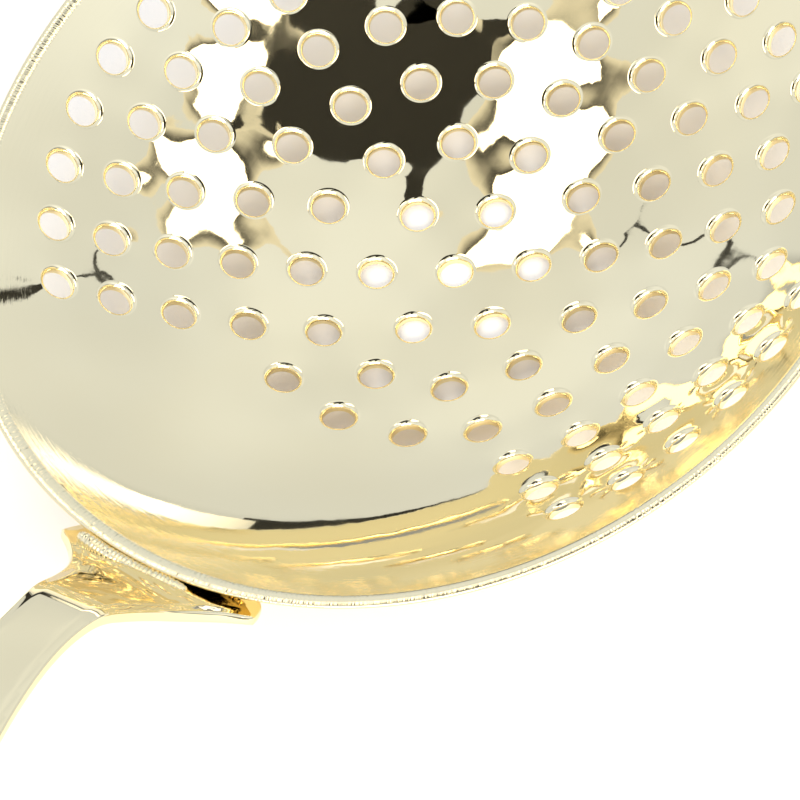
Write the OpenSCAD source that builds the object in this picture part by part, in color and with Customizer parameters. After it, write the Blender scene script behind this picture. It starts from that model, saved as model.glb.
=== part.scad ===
// Julep strainer: an oval dished bowl of pierced sheet metal, with a stamped strap handle
// whose yoke laps under the bowl's wall just below the rim and is welded on.
//
// Frame: the origin is the centre of the rim plane. +X runs out along the handle, +Z points
// out of the bowl's mouth, so the bowl hangs below Z = 0. All lengths are in millimetres.

/* [Bowl] */
// Length of the bowl over the rim, along the handle
bowl_length = 89; // [80:0.5:96]
// Width of the bowl over the rim, across the handle
bowl_width = 77; // [72:0.5:78]
// Depth of the bowl, from the rim plane to the inside of its lowest point
bowl_depth = 14.3; // [13:0.1:17]
// Thickness of the bowl's sheet metal
sheet_t = 0.9; // [0.7:0.1:1.2]

/* [Holes] */
// Diameter of each drain hole
hole_d = 2.7; // [2:0.1:3.2]
// Number of rings of holes round the centre hole
ring_count = 6; // [4:1:6]
// Distance along the sheet between one ring and the next, before the bowl is drawn
ring_pitch = 6.0; // [5.5:0.1:6.1]
// Extra distance between the centre hole and the first ring
first_ring_gap = 0.7; // [0.4:0.1:0.9]
// Radius that the drawing of the bowl pulls the flat hole pattern round
pattern_radius = 45; // [43:1:48]
// Rings that are complete, nearest the centre
full_rings = 3; // [2:1:4]
// Half angle of the plain sector on the handle side, in degrees
plain_half_angle = 43; // [41:1:44]

/* [Handle] */
// Length of the handle beyond the rim, measured along X
handle_reach = 80; // [70:1:90]
// Thickness of the handle's strap
strap_t = 1.4; // [1.2:0.1:1.8]
// Width across the two horns of the yoke
yoke_width = 19.2; // [18.6:0.2:20]
// Width of the yoke level with the outermost point of the rim
root_width = 17.6; // [15:0.2:18]
// Width of the strap at its neck
neck_width = 5.5; // [5:0.1:7]
// Width of the grip at the far end
grip_width = 15.5; // [13:0.5:18]
// Diameter of the hanging hole
hang_hole_d = 4.5; // [4:0.1:5.5]

/* [Handle bends] */
// Steepest slope of the yoke just outside the bowl, in degrees
root_slope = 48; // [45:1:51]
// Slope of the strap just after the first bend, in degrees
neck_slope = 22; // [19:1:25]
// Slope of the grip at its far end, in degrees
grip_slope = 10; // [6:1:12]
// Length of the yoke that laps under the bowl's wall
lap = 5; // [4:0.5:6]

/* [Welds] */
// Radius of the weld bead along the rim
top_bead_r = 0.75; // [0.65:0.05:0.85]
// Radius of the weld bead along the yoke's hidden inner edge
under_bead_r = 0.8; // [0.7:0.05:0.9]
// Extent of the top bead towards the left horn, seen from the grip
bead_left = 7.5; // [6:0.1:8]
// Extent of the top bead towards the right horn, seen from the grip
bead_right = 3.5; // [3:0.1:6]

/* [Hidden] */
$fn = 96;
degrees = 180 / PI;

half_length = bowl_length / 2;
half_width = bowl_width / 2;

// Inside radius of an arc that is bowl_depth deep and reaches the rim's outer edge at `half`
function dish_radius(half) = (half * half / (bowl_depth + sheet_t) + bowl_depth - sheet_t) / 2;

// The dish is a patch of a torus whose axis lies across the bowl, above its mouth
radius_along = dish_radius(half_length);
radius_across = dish_radius(half_width);
tube_centre = radius_along - radius_across;
axis_height = radius_along - bowl_depth;
outer_radius = radius_along + sheet_t;
rim_slope = asin(half_length / outer_radius);
sector_half_angle = 45;
sector_inner_radius = tube_centre + 10;
tube_reach = half_width + 4;
wall_facets = 180;

// Radius of the rim's own curve where the handle meets it
rim_end_radius = half_width * half_width / half_length;

// Distance of ring k from the bowl's centre line, after the sheet has been drawn
function ring_radius(k) = pattern_radius * sin((first_ring_gap + ring_pitch * k) / pattern_radius * degrees);

function is_plain(k, angle) = k > full_rings && abs(angle) < plain_half_angle;

// Strap: slope in degrees at distance u along it, counted from the rim. Before the rim it
// follows the outside of the bowl's wall.
steepen_end = 6;
bend_start = 11.5;
bend_end = 17;
relax_length = 6;
function smooth(t) = let (c = min(max(t, 0), 1)) c * c * (3 - 2 * c);
function wall_slope(u) = rim_slope + u / outer_radius * degrees;
function near_slope(u) = rim_slope + (root_slope - rim_slope) * smooth(u / steepen_end);
function far_slope(u) = grip_slope + (neck_slope - grip_slope) * exp(-max(u - bend_end, 0) / relax_length);
function bent(u) = smooth((u - bend_start) / (bend_end - bend_start));
function slope(u) = u < 0 ? wall_slope(u) : near_slope(u) + (far_slope(u) - near_slope(u)) * bent(u);

// Strap centreline in X, Z and slope, walked in equal steps from the inner end of the lap.
// The strap is seated seat_depth into the wall, and the wall is then cut out of it.
seat_depth = 0.1;
step = 0.75;
step_count = 150;
lap_radius = outer_radius + strap_t / 2 - seat_depth;
lap_slope = rim_slope - lap / outer_radius * degrees;
strap_path = [
    for (i = 0, x = lap_radius * sin(lap_slope), z = axis_height - lap_radius * cos(lap_slope);
         i <= step_count;
         a = slope(i * step - lap + step / 2), x = x + step * cos(a), z = z + step * sin(a), i = i + 1)
        [x, z, slope(i * step - lap)]
];

// Strap outline: half width at distance s beyond the rim, with the lap's corners drawn in
flare_length = 4.6;
grip_start = 12;
grip_full = 48;
lap_taper = 0.3;
function half_lap(s) = yoke_width / 2 * (1 - lap_taper * pow(min(s, 0) / lap, 2));
function half_strap(s) =
    min(half_lap(s),
        neck_width / 2
        + (root_width - neck_width) / 2 * exp(-s / flare_length)
        + (grip_width - neck_width) / 2 * smooth((s - grip_start) / (grip_full - grip_start)));

grip_r = grip_width / 2;
grip_centre = half_length + handle_reach - grip_r;

// First point of the strap's centreline at or beyond the centre of the rounded grip end
grip_point = [for (p = strap_path) if (p[0] >= grip_centre) p][0];

// Weld beads: the top one's centre lies just outside the rim, the hidden one's centre lies on
// the wall beyond the inner end of the lap
top_bead_x = half_length + 0.35;
top_bead_z = -0.15;
under_bead_slope = lap_slope - 0.35;
under_bead_lift = 0.15;
under_bead_x = (outer_radius + under_bead_lift) * sin(under_bead_slope);
under_bead_z = axis_height - (outer_radius + under_bead_lift) * cos(under_bead_slope);
under_bead_half = 6.5;
fine_facets = 720;

// Sector of the dish, in degrees from straight down, that the yoke and the welds can reach
cutter_low = 25;
cutter_high = 50;

// Heights that the plan outline of the handle is extruded between, past both ends of the strap
blank_bottom = -20;
blank_top = 60;

// How far each cutting tool runs past the metal on both sides
overcut = 1;
hole_facets = 32;

gold = [0.90, 0.82, 0.60];
weld_gold = [0.80, 0.70, 0.46];

// A sector of the torus about the Y direction, from the wall's inside out to its outside
module wall_sector(low_angle, high_angle) {
    torus_sector(low_angle, high_angle, wall_facets)
        difference() {
            circle(r = radius_across + sheet_t, $fn = wall_facets);
            circle(r = radius_across, $fn = wall_facets);
        }
}

// The same sector filled in, to cut the yoke and the welds to the wall's outside
module filled_sector(low_angle, high_angle) {
    torus_sector(low_angle, high_angle, fine_facets)
        circle(r = radius_across + sheet_t, $fn = fine_facets);
}

// Sweeps a section drawn round the tube's centre about the Y direction. Angles are counted
// from straight down, towards the handle.
module torus_sector(low_angle, high_angle, facets) {
    translate([0, 0, axis_height])
        rotate([90, 0, 0])
            rotate([0, 0, low_angle - 90])
                rotate_extrude(angle = high_angle - low_angle, $fn = facets)
                    intersection() {
                        translate([tube_centre, 0])
                            children();
                        translate([sector_inner_radius, -tube_reach])
                            square([radius_across + sheet_t, 2 * tube_reach]);
                    }
}

module below_rim() {
    translate([-bowl_length, -bowl_length, -2 * bowl_depth])
        cube([2 * bowl_length, 2 * bowl_length, 2 * bowl_depth]);
}

// A drain hole whose axis is square to the dish at (x, y)
module drain_hole(x, y) {
    across = asin(y / radius_across);
    along = asin(x / (tube_centre + radius_across * cos(across)));
    translate([0, 0, axis_height])
        rotate([0, -along, 0])
            translate([0, 0, -tube_centre])
                rotate([across, 0, 0])
                    translate([0, 0, -radius_across - sheet_t - overcut])
                        cylinder(d = hole_d, h = sheet_t + 2 * overcut, $fn = hole_facets);
}

module drain_holes() {
    drain_hole(0, 0);
    for (k = [1 : ring_count])
        for (i = [0 : 6 * k - 1]) {
            angle = i * 60 / k > 180 ? i * 60 / k - 360 : i * 60 / k;
            if (!is_plain(k, angle))
                drain_hole(ring_radius(k) * cos(angle), ring_radius(k) * sin(angle));
        }
}

module bowl() {
    color(gold)
        difference() {
            intersection() {
                wall_sector(-sector_half_angle, sector_half_angle);
                below_rim();
            }
            drain_holes();
        }
}

// Side view of the strap, thickened square to its centreline
module strap_profile() {
    function offset_point(p, d) = [p[0] - d * sin(p[2]), p[1] + d * cos(p[2])];
    polygon(concat(
        [for (p = strap_path) offset_point(p, strap_t / 2)],
        [for (i = [len(strap_path) - 1 : -1 : 0]) offset_point(strap_path[i], -strap_t / 2)]
    ));
}

// Plan view of the handle: flared yoke, neck and widening grip with a round end
module handle_outline() {
    stations = [for (s = [-lap - overcut : 1 : handle_reach + overcut]) s];
    difference() {
        translate([half_length, 0])
            polygon(concat(
                [for (s = stations) [s, half_strap(s)]],
                [for (i = [len(stations) - 1 : -1 : 0]) [stations[i], -half_strap(stations[i])]]
            ));
        difference() {
            translate([grip_centre, -grip_width])
                square([grip_width, 2 * grip_width]);
            translate([grip_centre, 0])
                circle(r = grip_r);
        }
    }
}

module handle_blank() {
    intersection() {
        rotate([90, 0, 0])
            linear_extrude(height = 2 * yoke_width, center = true)
                strap_profile();
        translate([0, 0, blank_bottom])
            linear_extrude(height = blank_top - blank_bottom)
                handle_outline();
    }
}

// The bowl's filled shape near the handle, from which the yoke and the welds are cut
module wall_cutter() {
    intersection() {
        filled_sector(cutter_low, cutter_high);
        below_rim();
    }
}

module handle() {
    color(gold)
        difference() {
            handle_blank();
            wall_cutter();
            translate([grip_point[0], 0, grip_point[1]])
                rotate([0, -grip_point[2], 0])
                    cylinder(d = hang_hole_d, h = strap_t + 2 * overcut, center = true);
        }
}

// A round bead that follows the rim's end curve from y_low to y_high, its centre at x and z
// where it crosses the middle of the handle
module bead(x, z, r, y_low, y_high) {
    angle_low = asin(y_low / rim_end_radius);
    angle_high = asin(y_high / rim_end_radius);
    translate([x - rim_end_radius, 0, z])
        rotate([0, 0, angle_low])
            rotate_extrude(angle = angle_high - angle_low, $fn = fine_facets)
                translate([rim_end_radius, 0])
                    circle(r = r);
}

module top_weld() {
    color(weld_gold)
        difference() {
            bead(top_bead_x, top_bead_z, top_bead_r, -bead_left, bead_right);
            wall_cutter();
            handle_blank();
        }
}

module under_weld() {
    color(weld_gold)
        difference() {
            bead(under_bead_x, under_bead_z, under_bead_r, -under_bead_half, under_bead_half);
            wall_cutter();
            handle_blank();
        }
}

bowl();
handle();
top_weld();
under_weld();
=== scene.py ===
"""Julep strainer: the looks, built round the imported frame.

Lengths are millimetres and angles degrees, until MM and math.radians turn them."""

import math

import bmesh
import bpy
import numpy as np
from mathutils import Matrix, Vector
from mathutils.geometry import delaunay_2d_cdt


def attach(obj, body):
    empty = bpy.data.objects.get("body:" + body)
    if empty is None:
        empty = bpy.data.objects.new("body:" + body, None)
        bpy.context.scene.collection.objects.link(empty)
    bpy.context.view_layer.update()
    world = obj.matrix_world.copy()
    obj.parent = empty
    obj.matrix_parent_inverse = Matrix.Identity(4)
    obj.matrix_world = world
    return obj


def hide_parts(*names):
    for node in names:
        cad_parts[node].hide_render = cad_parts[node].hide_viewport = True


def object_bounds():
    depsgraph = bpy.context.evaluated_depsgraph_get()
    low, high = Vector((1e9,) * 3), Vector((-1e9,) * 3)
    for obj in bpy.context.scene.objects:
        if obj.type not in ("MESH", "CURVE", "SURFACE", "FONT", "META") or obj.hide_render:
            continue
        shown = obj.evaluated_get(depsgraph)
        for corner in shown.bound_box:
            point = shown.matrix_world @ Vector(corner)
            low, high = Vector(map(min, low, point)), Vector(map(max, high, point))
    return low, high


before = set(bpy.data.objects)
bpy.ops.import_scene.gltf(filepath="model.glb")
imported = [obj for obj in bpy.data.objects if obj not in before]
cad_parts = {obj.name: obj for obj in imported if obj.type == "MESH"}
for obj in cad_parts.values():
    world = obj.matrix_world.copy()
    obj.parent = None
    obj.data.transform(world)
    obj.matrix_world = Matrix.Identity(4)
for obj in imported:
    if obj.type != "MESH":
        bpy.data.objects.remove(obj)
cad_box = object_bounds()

MM = 0.001
NORMAL_STEP = 0.01
STRAP_NORMAL_STEP = 0.02

# Bowl, as in the CAD
BOWL_LENGTH = 89.0
BOWL_WIDTH = 77.0
BOWL_DEPTH = 14.3
SHEET_T = 0.9
HALF_LENGTH = BOWL_LENGTH / 2
HALF_WIDTH = BOWL_WIDTH / 2


def dish_radius(half):
    return (half * half / (BOWL_DEPTH + SHEET_T) + BOWL_DEPTH - SHEET_T) / 2


RADIUS_ALONG = dish_radius(HALF_LENGTH)
RADIUS_ACROSS = dish_radius(HALF_WIDTH)
TUBE_CENTRE = RADIUS_ALONG - RADIUS_ACROSS
AXIS_HEIGHT = RADIUS_ALONG - BOWL_DEPTH
OUTER_RADIUS = RADIUS_ALONG + SHEET_T
RIM_SLOPE = math.asin(HALF_LENGTH / OUTER_RADIUS)
RIM_END_RADIUS = HALF_WIDTH**2 / HALF_LENGTH

# Drain holes, as in the CAD, and the form of their punched edges
HOLE_R = 1.35
RING_COUNT = 6
FULL_RINGS = 3
RING_PITCH = 6.0
FIRST_RING_GAP = 0.7
PATTERN_RADIUS = 45.0
PLAIN_HALF_ANGLE = 43.0
LIP_WIDTH = 0.5
LIP_DEPTH = 0.42
BURR_ROUND = 0.12
DIMPLE_DEPTH = 0.085
DIMPLE_REACH = 2.0
DIMPLE_VARIATION = 0.35
HOLE_SEGMENTS = 48
LIP_STEPS = 7
BURR_STEPS = 3
LIP_COLLAR_R = 2.1
COLLAR_R = 2.35
BACK_COLLAR_R = HOLE_R + 0.5
HAND_UNEVENNESS = 0.004

# Spacing of the loose points that carry the faces, and how far they keep from the edges
BOWL_PITCH = 0.9
BOWL_BACK_PITCH = 1.3
BOWL_RIM_CLEAR = 0.5
STRAP_PITCH = 0.5
STRAP_CLEAR = 0.22

# Rim edge
RIM_SEGMENTS = 720
RIM_ROUND_IN = 0.32
RIM_ROUND_OUT = 0.55
RIM_CREST = 0.36
RIM_STEPS = 9

# Handle, as in the CAD
HANDLE_REACH = 80.0
STRAP_T = 1.4
YOKE_WIDTH = 19.2
ROOT_WIDTH = 17.6
NECK_WIDTH = 5.5
GRIP_WIDTH = 15.5
HANG_HOLE_R = 2.25
ROOT_SLOPE = 48.0
NECK_SLOPE = 22.0
GRIP_SLOPE = 10.0
LAP = 5.0
LAP_TAPER = 0.3
STEEPEN_END = 6.0
BEND_START = 11.5
BEND_END = 17.0
RELAX_LENGTH = 6.0
SEAT_DEPTH = 0.1
FLARE_LENGTH = 4.6
GRIP_START = 12.0
GRIP_FULL = 48.0

# Form of the handle's faces, and the steps of its outline, edges and path
EDGE_ROUND = 0.22
BEVEL_WIDTH = 1.25
BEVEL_DROP = 0.2
CROWN = 0.12
CORNER_LENGTH = 1.6
END_TRIM = 0.15
EDGE_STEPS = 4
CORNER_STEPS = 12
CAP_STEPS = 30
LEAD_STEPS = 30
OUTLINE_STEP = 0.3
PATH_STEP = 0.25
PATH_SPARE = 15.0

# Welds, as in the CAD, with ripples of their own and not cut to the wall and the yoke
TOP_BEAD_R = 0.75
UNDER_BEAD_R = 0.8
BEAD_LEFT = 7.5
BEAD_RIGHT = 3.5
UNDER_BEAD_HALF = 6.5
RIPPLE_LENGTH = 0.42
RIPPLE_STEPS = 8
BEAD_SIDES = 28
TOP_BEAD_OUT = 0.35
TOP_BEAD_DROP = 0.15
UNDER_BEAD_TURN = 0.35
UNDER_BEAD_OUT = 0.15


def smooth(t):
    c = np.clip(t, 0.0, 1.0)
    return c * c * (3 - 2 * c)


# ---------------------------------------------------------------- the dish


def dish_point(plan, thickness):
    """Points of the dish over plan x, y, and unit normals that point down out of the metal."""
    x, y = plan[:, 0], plan[:, 1]
    tube = RADIUS_ACROSS + thickness
    reach = TUBE_CENTRE + np.sqrt(tube**2 - y**2)
    height = np.sqrt(reach**2 - x**2)
    point = np.stack([x, y, AXIS_HEIGHT - height], 1)
    middle = TUBE_CENTRE / reach
    centre = np.stack([x * middle, 0 * y, AXIS_HEIGHT - height * middle], 1)
    return point, (point - centre) / tube


def hole_centres():
    """Plan x, y of every drain hole on the inside of the dish."""
    spots = [(0.0, 0.0)]
    for ring in range(1, RING_COUNT + 1):
        flat = FIRST_RING_GAP + RING_PITCH * ring
        radius = PATTERN_RADIUS * math.sin(flat / PATTERN_RADIUS)
        for place in range(6 * ring):
            angle = 60.0 * place / ring
            angle = angle - 360 if angle > 180 else angle
            if ring <= FULL_RINGS or abs(angle) >= PLAIN_HALF_ANGLE:
                turn = math.radians(angle)
                spots.append((radius * math.cos(turn), radius * math.sin(turn)))
    return np.array(spots)


HOLES = hole_centres()
HOLE_AT, HOLE_AXIS = dish_point(HOLES, 0.0)


def hole_frames():
    """Two unit vectors across each hole's axis."""
    first = np.cross(HOLE_AXIS, [0.0, 1.0, 0.0])
    first /= np.linalg.norm(first, axis=1)[:, None]
    return first, np.cross(HOLE_AXIS, first)


HOLE_E1, HOLE_E2 = hole_frames()


def from_hole_axis(points, hole):
    """Distance of points from the axis of one hole."""
    away = points - HOLE_AT[hole]
    along = away @ HOLE_AXIS[hole]
    return np.linalg.norm(away - along[:, None] * HOLE_AXIS[hole], axis=1)


def dimple(points):
    """How far punching has pushed the inside face down near the holes, with the slow
    unevenness of a face polished by hand."""
    depth = np.zeros(len(points))
    for hole in range(len(HOLES)):
        strength = 1 + DIMPLE_VARIATION * math.sin(5.3 * hole + 0.7 * hole**1.5)
        depth += strength * DIMPLE_DEPTH * np.exp(-((from_hole_axis(points, hole) / DIMPLE_REACH) ** 2))
    x, y = points[:, 0], points[:, 1]
    wave = np.sin(x / 5.1 + 1.3 * np.sin(y / 7.3)) * np.sin(y / 4.7 + 0.8 * np.sin(x / 6.1))
    return depth + HAND_UNEVENNESS * wave


def inside_face(plan):
    point, normal = dish_point(plan, 0.0)
    return point + dimple(point)[:, None] * normal


def outside_face(plan):
    return dish_point(plan, SHEET_T)[0]


def face_normals(face, plan, up):
    """Normals of a face over its plan, from small steps; up is the sign of their Z."""
    step = NORMAL_STEP
    dx = face(plan + [step, 0]) - face(plan - [step, 0])
    dy = face(plan + [0, step]) - face(plan - [0, step])
    normal = np.cross(dx, dy)
    normal /= np.linalg.norm(normal, axis=1)[:, None]
    return normal * up * np.sign(normal[:, 2:3])


def rim_loop(thickness, drop):
    """Plan of the dish's edge at a drop below the rim plane."""
    tube = RADIUS_ACROSS + thickness
    level = AXIS_HEIGHT + drop
    widest = math.sqrt(tube**2 - (level - TUBE_CENTRE) ** 2)
    turn = np.linspace(0, 2 * math.pi, RIM_SEGMENTS, endpoint=False)
    y = widest * np.sin(turn)
    reach = TUBE_CENTRE + np.sqrt(tube**2 - y**2)
    x = np.sqrt(np.maximum(reach**2 - level**2, 0)) * np.sign(np.cos(turn))
    return np.stack([x, y], 1)


# ---------------------------------------------------------------- mesh building


class Builder:
    """Collects points, faces, a material number for each face and chosen normals."""

    def __init__(self):
        self.points, self.normals, self.faces, self.kinds = [], [], [], []

    def add(self, points, normals=None):
        first = len(self.points)
        self.points.extend(map(tuple, points))
        blank = [(0.0, 0.0, 0.0)] * len(points)
        self.normals.extend(blank if normals is None else map(tuple, normals))
        return np.arange(first, first + len(points))

    def face(self, corners, kind=0):
        self.faces.append([int(c) for c in corners])
        self.kinds.append(kind)

    def band(self, low, high, kind=0, closed=True):
        """Quads between two loops of points with the same count."""
        count = len(low)
        for i in range(count if closed else count - 1):
            j = (i + 1) % count
            self.face((low[i], low[j], high[j], high[i]), kind)

    def mesh(self, name):
        data = bpy.data.meshes.new(name)
        scaled = np.array(self.points) * MM
        data.from_pydata(scaled.tolist(), [], self.faces)
        data.polygons.foreach_set("material_index", self.kinds)
        data.polygons.foreach_set("use_smooth", [True] * len(self.faces))
        data.validate()
        data.update()
        piece = bpy.data.objects.new(name, data)
        bpy.context.scene.collection.objects.link(piece)
        recalculate_outside(data)
        data.normals_split_custom_set_from_vertices(self.normals)
        return piece


def recalculate_outside(data):
    work = bmesh.new()
    work.from_mesh(data)
    bmesh.ops.recalc_face_normals(work, faces=work.faces)
    work.to_mesh(data)
    work.free()


def triangles(loops, loose):
    """Triangles over loops of plan points, which stay as edges, and loose points between
    them. Returns all plan points and the triangles, over the loops' convex hull."""
    points = np.concatenate(loops + [loose])
    edges, first = [], 0
    for loop in loops:
        count = len(loop)
        edges += [(first + i, first + (i + 1) % count) for i in range(count)]
        first += count
    found = delaunay_2d_cdt([Vector(p) for p in points], edges, [], 0, 1e-7, True)
    source = [ids[0] for ids in found[3]]
    return points, np.array([[source[c] for c in tri] for tri in found[2]])


def grid(low, high, pitch):
    """Staggered rows of points over a plan box."""
    rows = np.arange(low[1], high[1], pitch * 0.866)
    spots = []
    for number, y in enumerate(rows):
        shift = pitch / 2 * (number % 2)
        spots += [(x + shift, y) for x in np.arange(low[0], high[0], pitch)]
    return np.array(spots)


def inside_loop(points, loop):
    """Whether points lie inside a closed loop, by counting crossings."""
    after = np.roll(loop, -1, axis=0)
    inside = np.zeros(len(points), bool)
    for (ax, ay), (bx, by) in zip(loop, after):
        if ay == by:
            continue
        crossing = (ay > points[:, 1]) != (by > points[:, 1])
        at = ax + (points[:, 1] - ay) * (bx - ax) / (by - ay)
        inside ^= crossing & (points[:, 0] < at)
    return inside


# ---------------------------------------------------------------- bowl


def hole_plan(hole, radius, thickness):
    """Plan of a circle round a hole, on the inside or the outside face."""
    turn = np.linspace(0, 2 * math.pi, HOLE_SEGMENTS, endpoint=False)[:, None]
    centre = HOLE_AT[hole] + thickness * HOLE_AXIS[hole]
    ring = centre + radius * (np.cos(turn) * HOLE_E1[hole] + np.sin(turn) * HOLE_E2[hole])
    return ring[:, :2]


def add_face(builder, face, thickness, rim, collar, pitch, up):
    """One face of the dish between the rim loop and a collar loop round each hole. A triangle
    with all its corners on one collar fills that hole, and is left out. Returns the point
    numbers of the rim and of the collars."""
    loops = [rim] + [hole_plan(hole, collar, thickness) for hole in range(len(HOLES))]
    reach = np.abs(rim).max(axis=0)
    loose = grid(-reach, reach, pitch)
    loose = loose[np.linalg.norm(loose / (reach - BOWL_RIM_CLEAR), axis=1) < 1]
    solid = dish_point(loose, thickness)[0]
    for hole in range(len(HOLES)):
        solid_far = from_hole_axis(solid, hole) > collar + 0.35 * pitch
        loose, solid = loose[solid_far], solid[solid_far]
    plan, found = triangles(loops, loose)
    numbers = builder.add(face(plan), face_normals(face, plan, up))
    ends = np.cumsum([len(loop) for loop in loops])
    owner = np.searchsorted(ends, found, side="right")
    one_owner = (owner == owner[:, :1]).all(axis=1)
    open_hole = one_owner & (owner[:, 0] > 0) & (owner[:, 0] < len(loops))
    for corners in found[~open_hole]:
        builder.face(numbers[corners])
    return [numbers[end - len(loop) : end] for end, loop in zip(ends, loops)]


def add_hole_wall(builder, hole, inside_collar, outside_collar):
    """The rolled-in lip, the bore and the lightly rounded outer edge of one hole."""
    axis = HOLE_AXIS[hole]
    last = inside_collar
    for radius in (LIP_COLLAR_R, HOLE_R + LIP_WIDTH):
        plan = hole_plan(hole, radius, 0.0)
        ring = builder.add(inside_face(plan), face_normals(inside_face, plan, 1))
        builder.band(last, ring)
        last = ring
    for turn in np.linspace(0, math.pi / 2, LIP_STEPS + 1)[1:]:
        radius = HOLE_R + LIP_WIDTH * (1 - math.sin(turn))
        depth = LIP_DEPTH * (1 - math.cos(turn))
        ring = builder.add(inside_face(hole_plan(hole, radius, 0.0)) + depth * axis)
        builder.band(last, ring)
        last = ring
    for turn in np.linspace(0, math.pi / 2, BURR_STEPS + 1):
        radius = HOLE_R + BURR_ROUND * (1 - math.cos(turn))
        depth = BURR_ROUND * (1 - math.sin(turn))
        ring = builder.add(outside_face(hole_plan(hole, radius, SHEET_T)) - depth * axis)
        builder.band(last, ring)
        last = ring
    builder.band(last, outside_collar)


def rounded(crest, corner, end):
    """Loops along an elliptical quarter turn that leaves the crest level and reaches end."""
    turns = np.linspace(0, math.pi / 2, RIM_STEPS + 1)[1:-1]
    return [crest + (corner - crest) * math.sin(t) + (end - corner) * (1 - math.cos(t)) for t in turns]


def add_rim(builder, inside_rim, outside_rim):
    """The rounded, ground edge between the two faces, its crest nearer the inside."""
    start = inside_face(rim_loop(0.0, RIM_ROUND_IN))
    end = outside_face(rim_loop(SHEET_T, RIM_ROUND_OUT))
    level = np.zeros((RIM_SEGMENTS, 1))
    inner_corner = np.concatenate([rim_loop(0.0, 0.0), level], 1)
    outer_corner = np.concatenate([rim_loop(SHEET_T, 0.0), level], 1)
    crest = inner_corner + RIM_CREST * (outer_corner - inner_corner)
    last = inside_rim
    inner_side = rounded(crest, inner_corner, start)[::-1]
    for loop in inner_side + [crest] + rounded(crest, outer_corner, end):
        ring = builder.add(loop)
        builder.band(last, ring, kind=1)
        last = ring
    builder.band(last, outside_rim, kind=1)


def make_bowl():
    builder = Builder()
    inside = add_face(builder, inside_face, 0.0, rim_loop(0.0, RIM_ROUND_IN), COLLAR_R, BOWL_PITCH, 1)
    outer_rim = rim_loop(SHEET_T, RIM_ROUND_OUT)
    outside = add_face(builder, outside_face, SHEET_T, outer_rim, BACK_COLLAR_R, BOWL_BACK_PITCH, -1)
    add_rim(builder, inside[0], outside[0])
    for hole in range(len(HOLES)):
        add_hole_wall(builder, hole, inside[hole + 1], outside[hole + 1])
    return builder.mesh("bowl_sheet")


# ---------------------------------------------------------------- handle


def slope(u):
    """Slope of the strap in radians at distance u along it from the rim."""
    rim = math.degrees(RIM_SLOPE)
    wall = rim + np.degrees(u / OUTER_RADIUS)
    near = rim + (ROOT_SLOPE - rim) * smooth(u / STEEPEN_END)
    far = GRIP_SLOPE + (NECK_SLOPE - GRIP_SLOPE) * np.exp(-np.maximum(u - BEND_END, 0) / RELAX_LENGTH)
    free = near + (far - near) * smooth((u - BEND_START) / (BEND_END - BEND_START))
    return np.radians(np.where(u < 0, wall, free))


def strap_path():
    """Distance along the strap and its centreline's X and Z, walked in small steps."""
    step = PATH_STEP
    u = np.arange(-LAP, HANDLE_REACH + PATH_SPARE, step)
    radius = OUTER_RADIUS + STRAP_T / 2 - SEAT_DEPTH
    angle = RIM_SLOPE - LAP / OUTER_RADIUS
    turn = slope(u[:-1] + step / 2)
    x = radius * math.sin(angle) + np.concatenate([[0], np.cumsum(step * np.cos(turn))])
    z = AXIS_HEIGHT - radius * math.cos(angle) + np.concatenate([[0], np.cumsum(step * np.sin(turn))])
    return u, x, z


PATH_U, PATH_X, PATH_Z = strap_path()
GRIP_R = GRIP_WIDTH / 2
GRIP_CENTRE = HANDLE_REACH - GRIP_R


def half_strap(s):
    """Half width of the handle at plan distance s beyond the rim."""
    lap_part = YOKE_WIDTH / 2 * (1 - LAP_TAPER * (np.minimum(s, 0) / LAP) ** 2)
    flare = (ROOT_WIDTH - NECK_WIDTH) / 2 * np.exp(-s / FLARE_LENGTH)
    widening = (GRIP_WIDTH - NECK_WIDTH) / 2 * smooth((s - GRIP_START) / (GRIP_FULL - GRIP_START))
    free = np.minimum(lap_part, NECK_WIDTH / 2 + flare + widening)
    round_end = np.sqrt(np.maximum(GRIP_R**2 - np.maximum(s - GRIP_CENTRE, 0) ** 2, 0))
    return np.where(s > GRIP_CENTRE, np.minimum(free, round_end), free)


def handle_loop():
    """The handle's outline, as distance along the strap and Y, in even steps."""
    start = PATH_X[0] - HALF_LENGTH
    corner = np.linspace(0, math.pi / 2, CORNER_STEPS)
    body = np.arange(start + CORNER_LENGTH, GRIP_CENTRE, OUTLINE_STEP)[1:]
    cap = np.linspace(0, math.pi / 2, CAP_STEPS)
    tip = GRIP_CENTRE + (GRIP_R - END_TRIM) * np.sin(cap)
    s = np.concatenate([start + CORNER_LENGTH * (1 - np.cos(corner)), body, tip])
    half = half_strap(s)
    half[: len(corner)] -= CORNER_LENGTH * (1 - np.sin(corner))
    u = np.interp(s + HALF_LENGTH, PATH_X, PATH_U)
    side = np.stack([u, half], 1)
    other = side[::-1] * [1, -1]
    lead_y = np.linspace(-half[0], half[0], LEAD_STEPS + 2)[1:-1]
    lead = np.stack([np.full(LEAD_STEPS, u[0]), lead_y], 1)
    return np.concatenate([side, other[1:], lead])


def inset(loop, amount):
    """A loop moved into the metal by a small amount, square to its own direction."""
    along = np.roll(loop, -1, axis=0) - np.roll(loop, 1, axis=0)
    along /= np.linalg.norm(along, axis=1)[:, None]
    return loop + amount * np.stack([along[:, 1], -along[:, 0]], 1)


def edge_distance(plan, loop):
    """Distance of plan points from a closed loop's segments."""
    start, end = loop, np.roll(loop, -1, axis=0)
    nearest = np.full(len(plan), 1e9)
    for a, b in zip(start, end):
        ab = b - a
        part = np.clip(((plan - a) @ ab) / (ab @ ab + 1e-12), 0, 1)
        nearest = np.minimum(nearest, np.linalg.norm(plan - a - part[:, None] * ab, axis=1))
    return nearest


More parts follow.
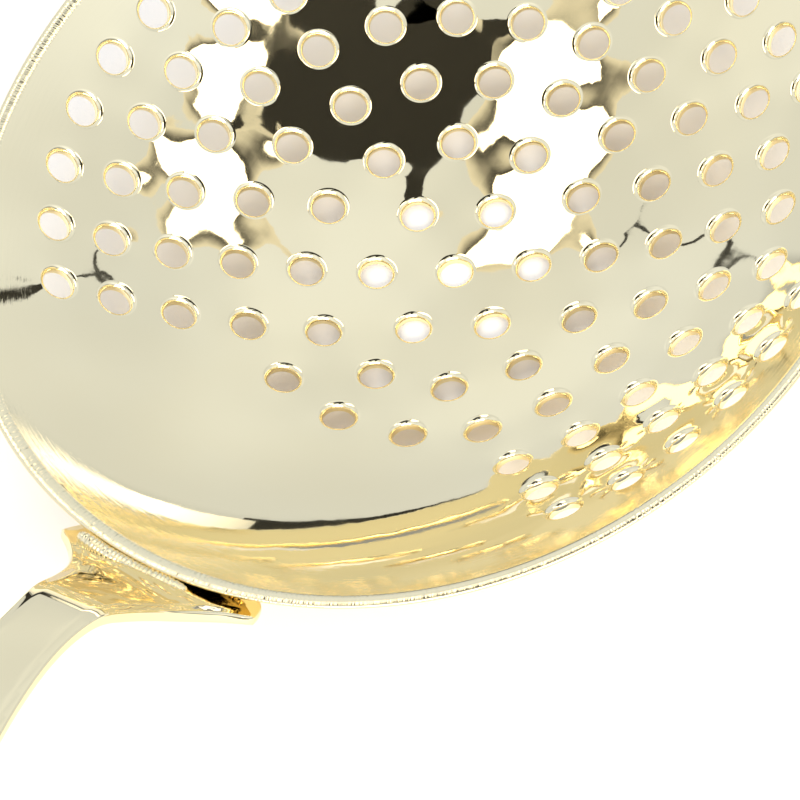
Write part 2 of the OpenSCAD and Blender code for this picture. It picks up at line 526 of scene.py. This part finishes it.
def bend_to_strap(plan, height):
    """Places strap plan points (distance along, Y) at a height above the centreline."""
    u, y = plan[:, 0], plan[:, 1]
    angle = slope(u)
    x = np.interp(u, PATH_U, PATH_X) - height * np.sin(angle)
    z = np.interp(u, PATH_U, PATH_Z) + height * np.cos(angle)
    return np.stack([x, y, z], 1)


def hang_hole_loop(radius):
    turn = -np.linspace(0, 2 * math.pi, HOLE_SEGMENTS, endpoint=False)
    centre = np.interp(HALF_LENGTH + GRIP_CENTRE, PATH_X, PATH_U)
    return np.stack([centre + radius * np.cos(turn), radius * np.sin(turn)], 1)


def make_handle():
    outline = handle_loop()
    hole = hang_hole_loop(HANG_HOLE_R)

    def height(plan):
        """Crowned, bevelled top face: lower towards the edges and under the bowl's wall."""
        edge = np.minimum(edge_distance(plan, outline), edge_distance(plan, hole) + 0.6)
        bevel = BEVEL_DROP * (1 - smooth(edge / BEVEL_WIDTH))
        crown = CROWN * np.minimum(np.abs(plan[:, 1]) / 4, 1) ** 2
        seated = 1.2 * SEAT_DEPTH * (1 - smooth((plan[:, 0] + 1) / 2))
        return STRAP_T / 2 - bevel - crown - seated

    def top(plan):
        return bend_to_strap(plan, height(plan))

    def under(plan):
        bevel = 0.6 * BEVEL_DROP * (1 - smooth(edge_distance(plan, outline) / BEVEL_WIDTH))
        return bend_to_strap(plan, bevel - STRAP_T / 2)

    builder = Builder()
    out_loop, hole_out = inset(outline, EDGE_ROUND), hang_hole_loop(HANG_HOLE_R + EDGE_ROUND)
    low, high = out_loop.min(axis=0), out_loop.max(axis=0)
    loose = grid(low, high, STRAP_PITCH)
    loose = loose[inside_loop(loose, out_loop)]
    near_edge = np.minimum(edge_distance(loose, out_loop), edge_distance(loose, hole_out))
    clear = near_edge > STRAP_CLEAR
    away_from_hole = np.linalg.norm(loose - hole_out.mean(axis=0), axis=1) > HANG_HOLE_R
    plan, found = triangles([out_loop, hole_out], loose[clear & away_from_hole])
    middle = plan[found].mean(axis=1)
    keep = inside_loop(middle, out_loop) & ~inside_loop(middle, hole_out)
    rims = []
    for face, up in ((top, 1), (under, -1)):
        numbers = builder.add(face(plan), face_normals_on_strap(face, plan, up))
        for corners in found[keep]:
            builder.face(numbers[corners])
        rims.append((numbers[: len(out_loop)], numbers[len(out_loop) : len(out_loop) + len(hole_out)]))
    close_edge(builder, outline, -1, top, under, rims[0][0], rims[1][0])
    close_edge(builder, hole, 1, top, under, rims[0][1], rims[1][1])
    return builder.mesh("handle_strap")


def face_normals_on_strap(face, plan, up):
    """Normals of a strap face over distance along and Y; up is 1 for the top face."""
    step = STRAP_NORMAL_STEP
    du = face(plan + [step, 0]) - face(plan - [step, 0])
    dy = face(plan + [0, step]) - face(plan - [0, step])
    normal = np.cross(du, dy)
    return up * normal / np.linalg.norm(normal, axis=1)[:, None]


def close_edge(builder, loop, side, top, under, top_ring, under_ring):
    """Rounds the strap's edge from its top face, down its side, to its underside."""
    last = top_ring
    quarter = np.linspace(0, math.pi / 2, EDGE_STEPS + 1)[1:]
    for turns, near, far in ((quarter, top, under), (quarter[::-1], under, top)):
        for turn in turns:
            plan = inset_or_circle(loop, side, EDGE_ROUND * (1 - math.sin(turn)))
            start = near(plan)
            ring = builder.add(start + EDGE_ROUND * (1 - math.cos(turn)) * toward(start, far(plan)))
            builder.band(last, ring)
            last = ring
    builder.band(last, under_ring)


def inset_or_circle(loop, side, amount):
    return inset(loop, amount) if side < 0 else hang_hole_loop(HANG_HOLE_R + amount)


def toward(start, end):
    away = end - start
    return away / np.linalg.norm(away, axis=1)[:, None]


# ---------------------------------------------------------------- welds


def make_bead(name, x, z, radius, y_low, y_high):
    """A rippled weld bead that follows the rim's end curve, with tapered ends."""
    builder = Builder()
    low, high = math.asin(y_low / RIM_END_RADIUS), math.asin(y_high / RIM_END_RADIUS)
    length = RIM_END_RADIUS * (high - low)
    count = int(length / RIPPLE_LENGTH) * RIPPLE_STEPS
    round_turn = np.linspace(0, 2 * math.pi, BEAD_SIDES, endpoint=False)
    last, first = None, None
    for number in range(count + 1):
        part = number / count
        angle = low + (high - low) * part
        ripple = 0.5 + 0.5 * math.cos(2 * math.pi * length * part / RIPPLE_LENGTH + 1.1 * math.sin(31 * part))
        end = min(1.0, 0.35 + 0.65 * math.sqrt(1 - (2 * part - 1) ** 6))
        size = radius * end * (0.86 + 0.12 * ripple + 0.02 * math.sin(17 * part))
        out = RIM_END_RADIUS + size * np.cos(round_turn)
        along = x - RIM_END_RADIUS + out * math.cos(angle)
        ring = builder.add(np.stack([along, out * math.sin(angle), z + size * np.sin(round_turn)], 1))
        if last is not None:
            builder.band(last, ring)
        first = ring if first is None else first
        last = ring
    builder.face(first)
    builder.face(last)
    return builder.mesh(name)


def make_welds():
    """The bead along the rim, and the one along the yoke's inner edge under the bowl."""
    top_x = HALF_LENGTH + TOP_BEAD_OUT
    top = make_bead("rim_weld_bead", top_x, -TOP_BEAD_DROP, TOP_BEAD_R, -BEAD_LEFT, BEAD_RIGHT)
    angle = RIM_SLOPE - LAP / OUTER_RADIUS - math.radians(UNDER_BEAD_TURN)
    radius = OUTER_RADIUS + UNDER_BEAD_OUT
    under = make_bead(
        "hidden_weld_bead",
        radius * math.sin(angle),
        AXIS_HEIGHT - radius * math.cos(angle),
        UNDER_BEAD_R,
        -UNDER_BEAD_HALF,
        UNDER_BEAD_HALF,
    )
    return top, under


# ---------------------------------------------------------------- materials

GOLD = (0.935, 0.795, 0.465)
GOLD_WARM = (0.920, 0.765, 0.425)
GOLD_WELD = (0.89, 0.72, 0.38)

# Bump heights in metres
BOWL_SCRATCH = 0.6e-6
HANDLE_SCRATCH = 1.2e-6
GRINDING = 0.06e-3
WELD_PITS = 0.04e-3

# Noise scales per metre
TINT_SCALE = 38.0
SMUDGE_SCALE = 90.0
STAIN_SCALE = 60.0
RIPPLE_SCALE = 260.0
HAIRLINES = (60, 1400, 900)
CROSS_LINES = (1500, 80, 900)
PIT_SCALE = 2600.0
WELD_TONE_SCALE = 500.0

# Noise scales per radian round the rim
GRINDING_MARKS = 150.0
STREAKS_ROUND = 11.0

# Streaks: noise scale from the centre to the rim, and where they fade in, as shares of that
STREAKS_ACROSS = 150.0
STREAK_ZONE = (0.84, 0.97)

# Bump weights against the hairlines
RIPPLE_WEIGHT = 14.0
STREAK_WEIGHT = 20.0


class Nodes:
    """Short calls for building a material's node tree."""

    def __init__(self, material):
        material.use_nodes = True
        self.tree = material.node_tree
        self.shader = self.tree.nodes["Principled BSDF"]

    def node(self, kind, **settings):
        made = self.tree.nodes.new(kind)
        for name, value in settings.items():
            setattr(made, name, value)
        return made

    def link(self, source, target):
        self.tree.links.new(source, target)

    def position(self, scale):
        """Object coordinates, scaled."""
        where = self.node("ShaderNodeTexCoord")
        mapping = self.node("ShaderNodeMapping")
        mapping.inputs["Scale"].default_value = scale
        self.link(where.outputs["Object"], mapping.inputs["Vector"])
        return mapping.outputs["Vector"]

    def noise(self, vector, scale, detail=3.0, rough=0.5):
        made = self.node("ShaderNodeTexNoise")
        made.inputs["Scale"].default_value = scale
        made.inputs["Detail"].default_value = detail
        made.inputs["Roughness"].default_value = rough
        self.link(vector, made.inputs["Vector"])
        return made.outputs["Fac"]

    def spread(self, value, low, high, from_low=0.3, from_high=0.7):
        made = self.node("ShaderNodeMapRange")
        made.inputs["From Min"].default_value = from_low
        made.inputs["From Max"].default_value = from_high
        made.inputs["To Min"].default_value = low
        made.inputs["To Max"].default_value = high
        self.link(value, made.inputs["Value"])
        return made.outputs["Result"]

    def mix(self, factor, first, second):
        made = self.node("ShaderNodeMix", data_type="RGBA")
        made.inputs["A"].default_value = (*first, 1)
        made.inputs["B"].default_value = (*second, 1)
        self.link(factor, made.inputs["Factor"])
        return made.outputs["Result"]

    def sum(self, first, second, weight):
        made = self.node("ShaderNodeMath", operation="MULTIPLY_ADD")
        made.inputs[1].default_value = weight
        self.link(second, made.inputs[0])
        self.link(first, made.inputs[2])
        return made.outputs["Value"]

    def bump(self, height, distance):
        made = self.node("ShaderNodeBump")
        made.inputs["Strength"].default_value = 1.0
        made.inputs["Distance"].default_value = distance
        self.link(height, made.inputs["Height"])
        self.link(made.outputs["Normal"], self.shader.inputs["Normal"])


def rim_streaks(nodes):
    """Drawing streaks that follow the rim, only on the outer part of the dish."""
    split = nodes.node("ShaderNodeSeparateXYZ")
    nodes.link(nodes.position((1 / (HALF_LENGTH * MM), 1 / (HALF_WIDTH * MM), 1)), split.inputs["Vector"])
    angle = nodes.node("ShaderNodeMath", operation="ARCTAN2")
    nodes.link(split.outputs["Y"], angle.inputs[0])
    nodes.link(split.outputs["X"], angle.inputs[1])
    flat = nodes.node("ShaderNodeCombineXYZ")
    nodes.link(split.outputs["X"], flat.inputs["X"])
    nodes.link(split.outputs["Y"], flat.inputs["Y"])
    length = nodes.node("ShaderNodeVectorMath", operation="LENGTH")
    nodes.link(flat.outputs["Vector"], length.inputs[0])
    along = nodes.node("ShaderNodeMath", operation="MULTIPLY")
    along.inputs[1].default_value = STREAKS_ROUND
    nodes.link(angle.outputs["Value"], along.inputs[0])
    across = nodes.node("ShaderNodeMath", operation="MULTIPLY")
    across.inputs[1].default_value = STREAKS_ACROSS
    nodes.link(length.outputs["Value"], across.inputs[0])
    where = nodes.node("ShaderNodeCombineXYZ")
    nodes.link(along.outputs["Value"], where.inputs["X"])
    nodes.link(across.outputs["Value"], where.inputs["Y"])
    streak = nodes.noise(where.outputs["Vector"], 1.0, 4.0, 0.6)
    zone = nodes.spread(length.outputs["Value"], 0.0, 1.0, *STREAK_ZONE)
    masked = nodes.node("ShaderNodeMath", operation="MULTIPLY")
    nodes.link(streak, masked.inputs[0])
    nodes.link(zone, masked.inputs[1])
    return masked.outputs["Value"]


def plated_metal(name, smooth_rough, dull_rough, scratch_depth, streaked=False):
    """Mirror-polished pale gold plate: uneven tint, smudges and fine polishing hairlines."""
    material = bpy.data.materials.new(name)
    nodes = Nodes(material)
    nodes.shader.inputs["Metallic"].default_value = 1.0
    broad = nodes.noise(nodes.position((1, 1, 1)), TINT_SCALE, 4.0)
    nodes.link(nodes.mix(nodes.spread(broad, 0.0, 1.0), GOLD, GOLD_WARM), nodes.shader.inputs["Base Color"])
    smudge = nodes.noise(nodes.position((1, 1.7, 1)), SMUDGE_SCALE, 6.0, 0.62)
    nodes.link(nodes.spread(smudge, smooth_rough, dull_rough, 0.42, 0.72), nodes.shader.inputs["Roughness"])
    hairline = nodes.noise(nodes.position(HAIRLINES), 1.0, 2.0)
    cross_line = nodes.noise(nodes.position(CROSS_LINES), 1.0, 2.0)
    height = nodes.sum(hairline, cross_line, 0.6)
    ripple = nodes.noise(nodes.position((1, 1, 1)), RIPPLE_SCALE, 2.0)
    height = nodes.sum(height, ripple, RIPPLE_WEIGHT)
    if streaked:
        height = nodes.sum(height, rim_streaks(nodes), STREAK_WEIGHT)
    nodes.bump(height, scratch_depth)
    return material


def ground_rim():
    """The rim's edge: the same plate over fine grinding marks that run across the edge."""
    material = bpy.data.materials.new("plated_ground_rim")
    nodes = Nodes(material)
    nodes.shader.inputs["Metallic"].default_value = 1.0
    where = nodes.position((1 / HALF_LENGTH, 1 / HALF_WIDTH, 1))
    split = nodes.node("ShaderNodeSeparateXYZ")
    nodes.link(where, split.inputs["Vector"])
    angle = nodes.node("ShaderNodeMath", operation="ARCTAN2")
    nodes.link(split.outputs["Y"], angle.inputs[0])
    nodes.link(split.outputs["X"], angle.inputs[1])
    marks = nodes.node("ShaderNodeTexNoise", noise_dimensions="1D")
    marks.inputs["Scale"].default_value = GRINDING_MARKS
    marks.inputs["Detail"].default_value = 3.0
    nodes.link(angle.outputs["Value"], marks.inputs["W"])
    stain = nodes.noise(nodes.position((1, 1, 1)), STAIN_SCALE, 3.0)
    nodes.link(nodes.mix(nodes.spread(stain, 0.0, 1.0), GOLD, GOLD_WARM), nodes.shader.inputs["Base Color"])
    nodes.link(nodes.spread(marks.outputs["Fac"], 0.05, 0.16), nodes.shader.inputs["Roughness"])
    nodes.bump(marks.outputs["Fac"], GRINDING)
    return material


def weld_metal():
    """Plated weld filler: duller and warmer, with small pits."""
    material = bpy.data.materials.new("plated_weld")
    nodes = Nodes(material)
    nodes.shader.inputs["Metallic"].default_value = 1.0
    pits = nodes.noise(nodes.position((1, 1, 1)), PIT_SCALE, 4.0)
    tone = nodes.noise(nodes.position((1, 1, 1)), WELD_TONE_SCALE, 3.0)
    nodes.link(nodes.mix(nodes.spread(tone, 0.0, 1.0), GOLD, GOLD_WELD), nodes.shader.inputs["Base Color"])
    nodes.link(nodes.spread(tone, 0.08, 0.2), nodes.shader.inputs["Roughness"])
    nodes.bump(pits, WELD_PITS)
    return material


# ---------------------------------------------------------------- stage and camera

VIEW_AZIMUTH = 42.9
VIEW_ELEVATION = 55.5
VIEW_ROLL = -13.3
VIEW_DISTANCE = 1000.0
VIEW_SCALE = 11.9
IMAGE_WIDTH = 800
AIM_RIGHT = -2.8
AIM_UP = -18.85

# Stage and room: millimetres, degrees, and radiance or glow where 1 is a pale wall's white
OVERHEAD = 700.0
RING_DISTANCE = 800.0
FRONT_ELEVATION = 36.0
FRONT_SIZE = (800.0, 280.0)
FRONT_RADIANCE = 9.0
BOX_RADIANCE = 3.5
BORDER_WIDTH = 75.0
BORDER_LIFT = 6.0
BORDER_GLOW = 0.03
WINDOW_GLOW = 1.6
ROOM_GLOW = 0.87
FRONT_GLOW = 1.05
HORIZON_GLOW = 0.35
FLOOR_GLOW = 0.05
FLOOR_GAP = 0.05
FLOOR_REACH = 4000.0
FLOOR_COLOUR = (0.95, 0.90, 0.80)
ROOM_COLOUR = (0.97, 1.09, 1.41)
CARD_COLOUR = (0.02, 0.02, 0.02)
WINDOW_COLOUR = (0.75, 0.75, 0.75)


def place(azimuth, elevation, distance):
    """A point seen from the bowl at an azimuth from +X and an elevation, in metres."""
    a, e = math.radians(azimuth), math.radians(elevation)
    return Vector((math.cos(e) * math.cos(a), math.cos(e) * math.sin(a), math.sin(e))) * distance * MM


def make_camera():
    """The camera looks at the bowl from above and beside the handle, with a long lens."""
    back = place(VIEW_AZIMUTH, VIEW_ELEVATION, 1 / MM)
    level_up = Vector((0, 0, 1)) - back * back.z
    level_up.normalize()
    level_right = level_up.cross(back)
    roll = math.radians(VIEW_ROLL)
    right = level_right * math.cos(roll) + level_up * math.sin(roll)
    up = level_up * math.cos(roll) - level_right * math.sin(roll)
    data = bpy.data.cameras.new("camera")
    data.sensor_width = 36.0
    data.lens = VIEW_SCALE * VIEW_DISTANCE * data.sensor_width / IMAGE_WIDTH
    camera = bpy.data.objects.new("camera", data)
    spot = right * AIM_RIGHT * MM + up * AIM_UP * MM + back * VIEW_DISTANCE * MM
    axes = Matrix((right, up, back)).transposed().to_4x4()
    camera.matrix_world = Matrix.Translation(spot) @ axes
    bpy.context.scene.collection.objects.link(camera)
    bpy.context.scene.camera = camera


def flat_material(name, colour, glow=0.0):
    material = bpy.data.materials.new(name)
    material.use_nodes = True
    shader = material.node_tree.nodes["Principled BSDF"]
    shader.inputs["Base Color"].default_value = (*colour, 1)
    shader.inputs["Roughness"].default_value = 0.7
    shader.inputs["Specular IOR Level"].default_value = 0.2
    shader.inputs["Emission Color"].default_value = (1, 1, 1, 1)
    shader.inputs["Emission Strength"].default_value = glow
    return material


def overhead(x, y, turn):
    """A flat pose above the bowl, facing down."""
    spot = Vector((x, y, OVERHEAD)) * MM
    return Matrix.Translation(spot) @ Matrix.Rotation(math.radians(turn), 4, "Z")


def dark_border():
    """Dark beside the light, and as pale as the room at the card's outer edge."""
    material = flat_material("light_border", CARD_COLOUR)
    tree = material.node_tree
    where = tree.nodes.new("ShaderNodeTexCoord")
    split = tree.nodes.new("ShaderNodeSeparateXYZ")
    tree.links.new(where.outputs["Generated"], split.inputs["Vector"])
    sides = []
    for axis in "XY":
        inward = tree.nodes.new("ShaderNodeMath")
        inward.operation = "PINGPONG"
        inward.inputs[1].default_value = 0.5
        tree.links.new(split.outputs[axis], inward.inputs[0])
        sides.append(inward.outputs["Value"])
    nearest = tree.nodes.new("ShaderNodeMath")
    nearest.operation = "MINIMUM"
    tree.links.new(sides[0], nearest.inputs[0])
    tree.links.new(sides[1], nearest.inputs[1])
    glow = tree.nodes.new("ShaderNodeMapRange")
    glow.interpolation_type = "SMOOTHSTEP"
    glow.inputs["From Max"].default_value = 0.13
    glow.inputs["To Min"].default_value = ROOM_GLOW
    glow.inputs["To Max"].default_value = BORDER_GLOW
    tree.links.new(nearest.outputs["Value"], glow.inputs["Value"])
    tree.links.new(glow.outputs["Result"], tree.nodes["Principled BSDF"].inputs["Emission Strength"])
    return material


def area_light(name, pose, width, depth, radiance):
    """A rectangular light that the camera itself doesn't see."""
    data = bpy.data.lights.new(name, "AREA")
    data.shape = "RECTANGLE"
    data.size, data.size_y = width * MM, depth * MM
    data.energy = radiance * math.pi * data.size * data.size_y
    light = bpy.data.objects.new(name, data)
    light.matrix_world = pose
    light.visible_camera = False
    bpy.context.scene.collection.objects.link(light)


def soft_box(name, x, y, width, depth, turn, border):
    """A soft light overhead with a dark border."""
    pose = overhead(x, y, turn)
    area_light(name, pose, width, depth, BOX_RADIANCE)
    card = stage_card(name + "_border", pose, width + BORDER_WIDTH, depth + BORDER_WIDTH, border)
    card.location.z += BORDER_LIFT * MM


def stage_card(name, pose, width, height, material):
    """A flat card that the camera itself doesn't see, only the metal does."""
    data = bpy.data.meshes.new(name)
    w, h = width * MM / 2, height * MM / 2
    data.from_pydata([(-w, -h, 0), (w, -h, 0), (w, h, 0), (-w, h, 0)], [], [(0, 1, 2, 3)])
    data.materials.append(material)
    card = bpy.data.objects.new(name, data)
    card.matrix_world = pose
    card.visible_camera = False
    bpy.context.scene.collection.objects.link(card)
    return card


def facing(spot):
    """A pose at a spot that faces the bowl."""
    return Matrix.Translation(spot) @ spot.to_track_quat("Z", "Y").to_matrix().to_4x4()


def ring_card(name, azimuth, low, high, width, material):
    """An upright card round the stage, between two elevations seen from the bowl."""
    bottom = RING_DISTANCE * math.tan(math.radians(low))
    top = RING_DISTANCE * math.tan(math.radians(high))
    spot = place(azimuth, 0, RING_DISTANCE)
    spot.z = (bottom + top) / 2 * MM
    look = Vector((-spot.x, -spot.y, 0)).to_track_quat("Z", "Y").to_matrix().to_4x4()
    stage_card(name, Matrix.Translation(spot) @ look, width, top - bottom, material)


def fading_glow(name, strength):
    """A glow that fades out towards both ends of a card."""
    material = flat_material(name, WINDOW_COLOUR)
    tree = material.node_tree
    shader = tree.nodes["Principled BSDF"]
    where = tree.nodes.new("ShaderNodeTexCoord")
    split = tree.nodes.new("ShaderNodeSeparateXYZ")
    tree.links.new(where.outputs["Generated"], split.inputs["Vector"])
    fade = tree.nodes.new("ShaderNodeMath")
    fade.operation = "PINGPONG"
    fade.inputs[1].default_value = 0.5
    tree.links.new(split.outputs["X"], fade.inputs[0])
    glow = tree.nodes.new("ShaderNodeMapRange")
    glow.inputs["From Max"].default_value = 0.3
    glow.inputs["To Max"].default_value = strength
    tree.links.new(fade.outputs["Value"], glow.inputs["Value"])
    tree.links.new(glow.outputs["Result"], shader.inputs["Emission Strength"])
    return material


def make_stage():
    """A pale floor, a front light, three overhead soft boxes, and the dark things of a studio."""
    level, reach = cad_box[0].z - FLOOR_GAP * MM, FLOOR_REACH * MM
    corners = [(-reach, -reach, level), (reach, -reach, level), (reach, reach, level), (-reach, reach, level)]
    data = bpy.data.meshes.new("floor")
    data.from_pydata(corners, [], [(0, 1, 2, 3)])
    data.materials.append(flat_material("pale_floor", FLOOR_COLOUR, FLOOR_GLOW))
    floor = bpy.data.objects.new("floor", data)
    bpy.context.scene.collection.objects.link(floor)
    front = facing(place(VIEW_AZIMUTH, FRONT_ELEVATION, RING_DISTANCE))
    area_light("light_front", front, *FRONT_SIZE, FRONT_RADIANCE)
    border = dark_border()
    soft_box("light_left", -478, 232, 230, 205, -43, border)
    soft_box("light_back", -185, 390, 310, 185, 40, border)
    soft_box("light_right", -95, -330, 480, 215, 33, border)
    dark = flat_material("dark_card", CARD_COLOUR)
    stage_card("dark_overhead", overhead(-108, 88, 10), 300, 400, dark)
    stage_card("dark_camera", overhead(190, 180, 43), 420, 90, dark)
    ring_card("stand_left_low", 164, 15, 23, 26, dark)
    ring_card("stand_left_high", 162, 23, 40, 8, dark)
    ring_card("stand_right", 252, 18, 42, 8, dark)
    ring_card("table_edge", 221, 2.0, 7.2, 440, dark)
    ring_card("window", 194, 3.0, 6.6, 360, fading_glow("window", WINDOW_GLOW))


def make_world():
    """A pale room: brighter behind the camera, darker near the floor, faintly cloudy."""
    world = bpy.data.worlds.new("pale_room")
    bpy.context.scene.world = world
    world.use_nodes = True
    tree = world.node_tree

    def ramp(source, from_low, from_high, to_low, to_high):
        made = tree.nodes.new("ShaderNodeMapRange")
        made.interpolation_type = "SMOOTHSTEP"
        made.inputs["From Min"].default_value = from_low
        made.inputs["From Max"].default_value = from_high
        made.inputs["To Min"].default_value = to_low
        made.inputs["To Max"].default_value = to_high
        tree.links.new(source, made.inputs["Value"])
        return made.outputs["Result"]

    def math_node(operation, first, second):
        made = tree.nodes.new("ShaderNodeMath")
        made.operation = operation
        tree.links.new(first, made.inputs[0])
        tree.links.new(second, made.inputs[1])
        return made.outputs["Value"]

    where = tree.nodes.new("ShaderNodeTexCoord").outputs["Generated"]
    front = tree.nodes.new("ShaderNodeVectorMath")
    front.operation = "DOT_PRODUCT"
    front.inputs[1].default_value = place(VIEW_AZIMUTH, 0, 1 / MM)
    tree.links.new(where, front.inputs[0])
    split = tree.nodes.new("ShaderNodeSeparateXYZ")
    tree.links.new(where, split.inputs["Vector"])
    height = split.outputs["Z"]
    cloud = tree.nodes.new("ShaderNodeTexNoise")
    cloud.inputs["Scale"].default_value = 1.6
    cloud.inputs["Detail"].default_value = 1.0
    tree.links.new(where, cloud.inputs["Vector"])
    behind_bowl = ramp(height, 0.03, 0.15, HORIZON_GLOW, ROOM_GLOW)
    behind_camera = ramp(height, 0.12, 0.5, HORIZON_GLOW, FRONT_GLOW)
    frontness = ramp(front.outputs["Value"], -0.1, 0.45, 0.0, 1.0)
    backness = ramp(front.outputs["Value"], -0.1, 0.45, 1.0, 0.0)
    parts = (math_node("MULTIPLY", behind_camera, frontness), math_node("MULTIPLY", behind_bowl, backness))
    haze = ramp(cloud.outputs["Fac"], 0.3, 0.7, 0.9, 1.1)
    strength = math_node("MULTIPLY", math_node("ADD", *parts), haze)
    background = tree.nodes["Background"]
    background.inputs["Color"].default_value = (*ROOM_COLOUR, 1)
    tree.links.new(strength, background.inputs["Strength"])


# ---------------------------------------------------------------- the piece list


def finish_piece(piece, node, materials):
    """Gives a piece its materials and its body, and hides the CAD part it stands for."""
    for material in materials:
        piece.data.materials.append(material)
    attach(piece, "root")
    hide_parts(node)


bpy.context.scene.view_settings.view_transform = "Standard"
make_camera()
make_stage()
make_world()
bowl_plate = plated_metal("plated_bowl", 0.02, 0.05, BOWL_SCRATCH, streaked=True)
handle_plate = plated_metal("plated_handle", 0.03, 0.07, HANDLE_SCRATCH)
weld = weld_metal()
top_bead, under_bead = make_welds()
finish_piece(make_bowl(), "bowl", [bowl_plate, ground_rim()])
finish_piece(make_handle(), "handle", [handle_plate])
finish_piece(top_bead, "top_weld", [weld])
finish_piece(under_bead, "under_weld", [weld])
